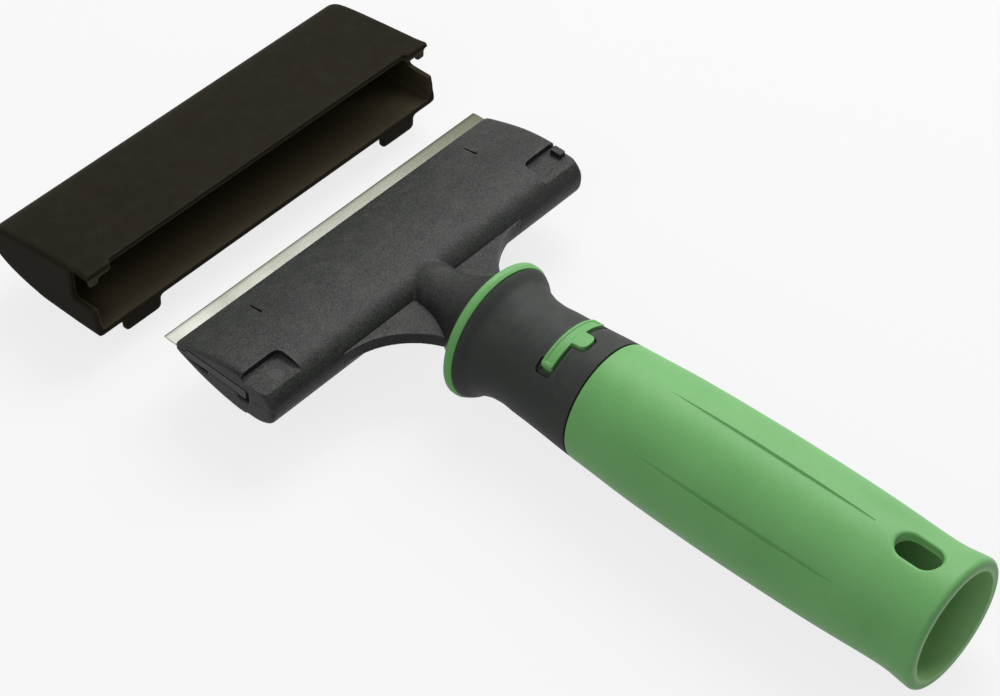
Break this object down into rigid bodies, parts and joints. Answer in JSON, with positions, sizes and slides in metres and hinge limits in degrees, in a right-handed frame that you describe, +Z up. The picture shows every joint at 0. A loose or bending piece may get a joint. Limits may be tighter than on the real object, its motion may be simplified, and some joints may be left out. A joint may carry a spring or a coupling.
{
  "type": "glass scraper",
  "caption": "Hand-held glass scraper: a wide steel blade in a flat head, a swelling two-material handle with a pole socket and a release button, and a blade cap that pulls off.",
  "frame": {"origin": "on the table that the set lies on, below the middle of its box, with the cap taken off", "axes": "+Y along the handle towards the blade, +Z up, +X along the blade to the right"},
  "size_m": [0.1094, 0.2268, 0.033],
  "materials": {
    "green_plastic": "satin moulded green, hard",
    "black_rubber": "matt soft grip",
    "black_plastic": "fine grained moulded plastic",
    "grey_plastic": "smooth moulded plastic",
    "cap_plastic": "satin moulded dark brown-black",
    "blade_steel": "ground stainless steel",
    "screw_steel": "zinc-plated steel"
  },
  "bodies": {
    "handle": {"handle_core": "green_plastic", "collar_grip": "black_rubber", "head_body": "black_plastic", "head_base": "black_plastic", "base_screw_1": "screw_steel", "base_screw_2": "screw_steel", "base_screw_3": "screw_steel", "base_screw_4": "screw_steel", "blade_carrier": "grey_plastic", "blade": "blade_steel"},
    "button": {"lock_button": "green_plastic"},
    "catch": {"catch_finger": "black_plastic"},
    "cap": {"blade_cap": "cap_plastic"}
  },
  "joints": [
    {"name": "cap_slide", "type": "slide", "parent": "handle", "child": "cap", "axis": [0, -1, 0], "range_m": [0, 0.05]},
    {"name": "button_press", "type": "slide", "parent": "handle", "child": "button", "axis": [0, 0, -1], "range_m": [0, 0.0012], "stiffness_N_per_m": 300},
    {"name": "catch_flex", "type": "hinge", "parent": "handle", "child": "catch", "pos_m": [0, -0.00385, 0.02208], "axis": [1, 0, 0], "range_deg": [0, 7.5]}
  ],
  "couplings": [
    {"joint": "catch_flex", "follows": "button_press", "rad_per_m": 104}
  ]
}
